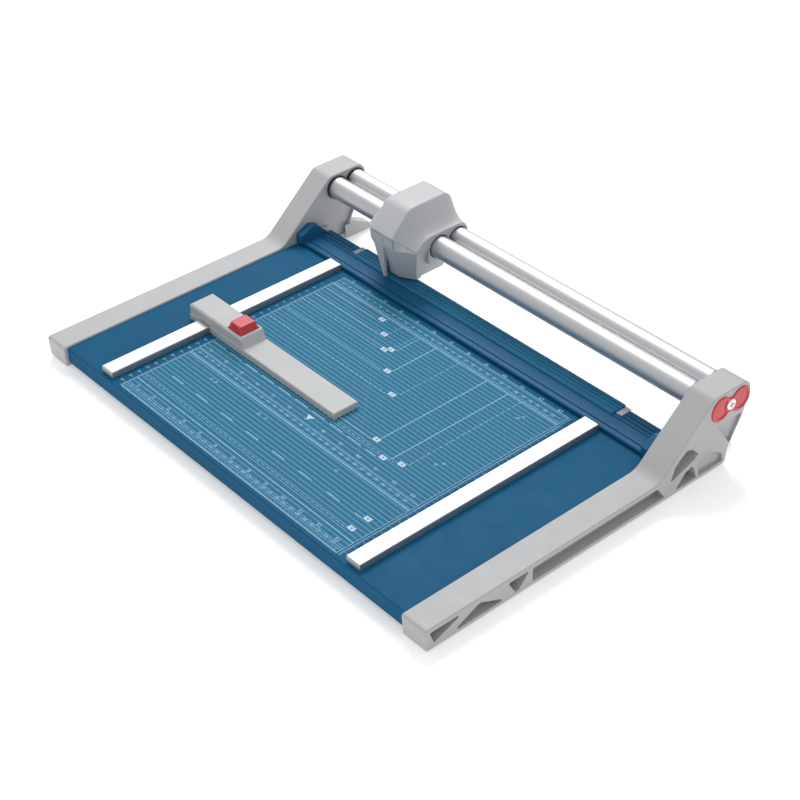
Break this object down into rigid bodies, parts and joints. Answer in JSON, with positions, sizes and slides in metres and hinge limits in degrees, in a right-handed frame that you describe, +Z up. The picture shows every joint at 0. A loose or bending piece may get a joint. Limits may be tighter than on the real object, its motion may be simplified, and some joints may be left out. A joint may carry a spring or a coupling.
{
  "type": "rotary paper trimmer",
  "caption": "Rotary paper trimmer: a printed table between side frames, a cutting head that slides on guide tubes, a sprung sheet clamp, side rails and a lockable backstop.",
  "frame": {"origin": "middle of the base, on the surface that the rubber feet stand on", "axes": "+X along the cut, to the right of a user who faces the cutting edge over the table; +Y to the back, towards the guide tubes; +Z up"},
  "size_m": [0.5796, 0.399, 0.1133],
  "materials": {
    "table_paint": "smooth powder coat with a light printed scale",
    "frame_plastic": "light grey, fine grain",
    "blade_steel": "ground and hardened",
    "bed_aluminium": "extruded",
    "rod_steel": "plated",
    "cap_plastic": "red, moulded",
    "screw_steel": "plated",
    "clamp_blue": "dark blue, ribbed",
    "clamp_steel": "bright strip",
    "clear_plastic": "clear, polished",
    "pin_steel": "turned",
    "spring_steel": "drawn wire",
    "tube_aluminium": "satin drawn tube",
    "black_plastic": "black, low friction",
    "foot_rubber": "matt",
    "rail_aluminium": "satin anodised",
    "stop_plastic": "light grey, fine grain",
    "button_plastic": "dark red, moulded",
    "hood_plastic": "grey, fine grain",
    "guard_plastic": "mid grey, fine grain"
  },
  "bodies": {
    "base": {"table_plate": "table_paint", "frame_left": "frame_plastic", "frame_right": "frame_plastic", "lower_blade": "blade_steel", "blade_bed": "bed_aluminium", "tie_rod_front": "rod_steel", "end_cap_left": "cap_plastic", "end_cap_right": "cap_plastic", "cap_screw_left": "screw_steel", "cap_screw_right": "screw_steel", "bed_screw_left": "screw_steel", "bed_screw_middle": "screw_steel", "bed_screw_right": "screw_steel", "table_screw_front_left": "screw_steel", "table_screw_front_right": "screw_steel", "table_screw_rear_left": "screw_steel", "table_screw_rear_right": "screw_steel", "clamp_pin_left": "pin_steel", "clamp_pin_right": "pin_steel", "rail_pin_left_front": "pin_steel", "rail_pin_right_front": "pin_steel", "rail_pin_left_rear": "pin_steel", "rail_pin_right_rear": "pin_steel", "clamp_spring_left": "spring_steel", "clamp_spring_right": "spring_steel", "tube_front": "tube_aluminium", "tube_rear": "tube_aluminium", "tube_sleeve_front_left": "black_plastic", "tube_sleeve_front_right": "black_plastic", "tube_sleeve_rear_left": "black_plastic", "tube_sleeve_rear_right": "black_plastic", "foot_front_left": "foot_rubber", "foot_front_right": "foot_rubber", "foot_rear_left": "foot_rubber", "foot_rear_right": "foot_rubber", "rail_left": "rail_aluminium", "rail_right": "rail_aluminium"},
    "clamp": {"clamp_carrier": "clamp_blue", "clamp_bracket_left": "clamp_blue", "clamp_bracket_right": "clamp_blue", "clamp_strip": "clamp_steel", "clamp_lip": "clear_plastic"},
    "backstop": {"backstop_body": "stop_plastic", "button_spring": "spring_steel"},
    "button": {"backstop_button": "button_plastic", "lock_pawl": "pin_steel"},
    "head": {"head_hood": "hood_plastic", "head_guard": "guard_plastic", "guard_finger": "guard_plastic", "blade_holder": "hood_plastic", "cutter_axle": "pin_steel", "bushing_front_left": "black_plastic", "bushing_front_right": "black_plastic", "bushing_rear_left": "black_plastic", "bushing_rear_right": "black_plastic"},
    "cutter": {"cutter_disc": "blade_steel", "cutter_hub": "black_plastic"}
  },
  "joints": [
    {"name": "head_slide", "type": "slide", "parent": "base", "child": "head", "axis": [1, 0, 0], "range_m": [-0.087, 0.345]},
    {"name": "cutter_spin", "type": "hinge", "parent": "head", "child": "cutter", "pos_m": [-0.1291, 0.14026, 0.047], "axis": [0, 1, 0], "range_deg": [-187, 736]},
    {"name": "clamp_press", "type": "slide", "parent": "base", "child": "clamp", "axis": [0, 0, -1], "range_m": [0, 0.0015], "stiffness_N_per_m": 1500, "springref_m": -0.002, "deforming": ["clamp_spring_left", "clamp_spring_right"]},
    {"name": "backstop_slide", "type": "slide", "parent": "base", "child": "backstop", "axis": [0, 1, 0], "range_m": [-0.116, 0.139]},
    {"name": "button_press", "type": "slide", "parent": "backstop", "child": "button", "axis": [0, 0, -1], "range_m": [0, 0.0036], "stiffness_N_per_m": 600, "springref_m": -0.002, "deforming": ["button_spring"]}
  ],
  "couplings": [
    {"joint": "cutter_spin", "follows": "head_slide", "rad_per_m": 37.175}
  ]
}
